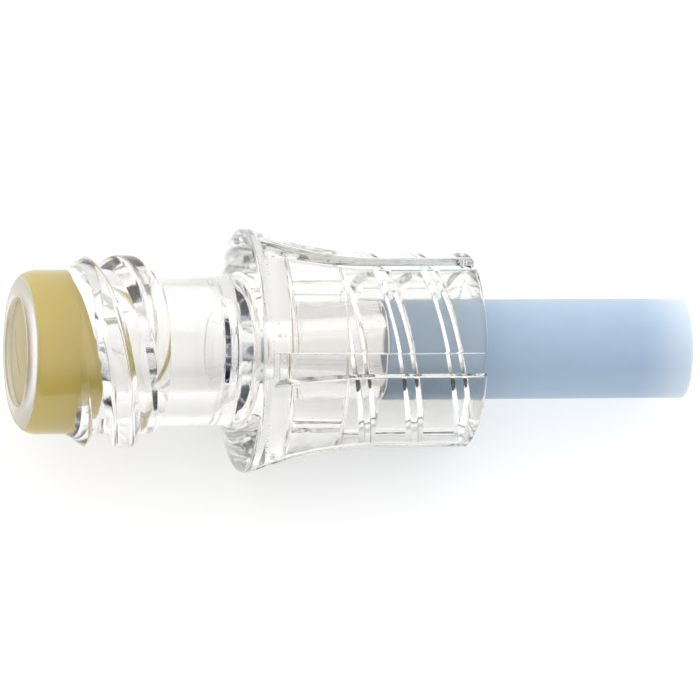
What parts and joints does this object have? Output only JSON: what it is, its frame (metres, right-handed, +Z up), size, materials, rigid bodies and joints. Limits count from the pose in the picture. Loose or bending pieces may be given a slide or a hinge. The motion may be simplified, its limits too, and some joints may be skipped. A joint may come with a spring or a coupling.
{
  "type": "needle free connector",
  "caption": "Clear needle free access connector: slit septum in a threaded cup, neck, flange, grooved male luer lock collar and a pale blue tip protector tube, lying at rest.",
  "frame": {"origin": "centre of the bounding box on the table that the connector lies on", "axes": "+X along the connector's length, towards the tip protector, with the connector's own axis leaning 6.53 degrees down towards +X; +Z up from the table"},
  "size_m": [0.0352, 0.0124, 0.0124],
  "materials": {
    "clear_polycarbonate": "clear, moulded, polished",
    "septum_elastomer": "soft, matt, pale yellow",
    "protector_tube": "soft, milky, pale blue"
  },
  "bodies": {
    "root": {"connector_body": "clear_polycarbonate", "septum": "septum_elastomer", "tip_protector": "protector_tube"}
  },
  "joints": []
}
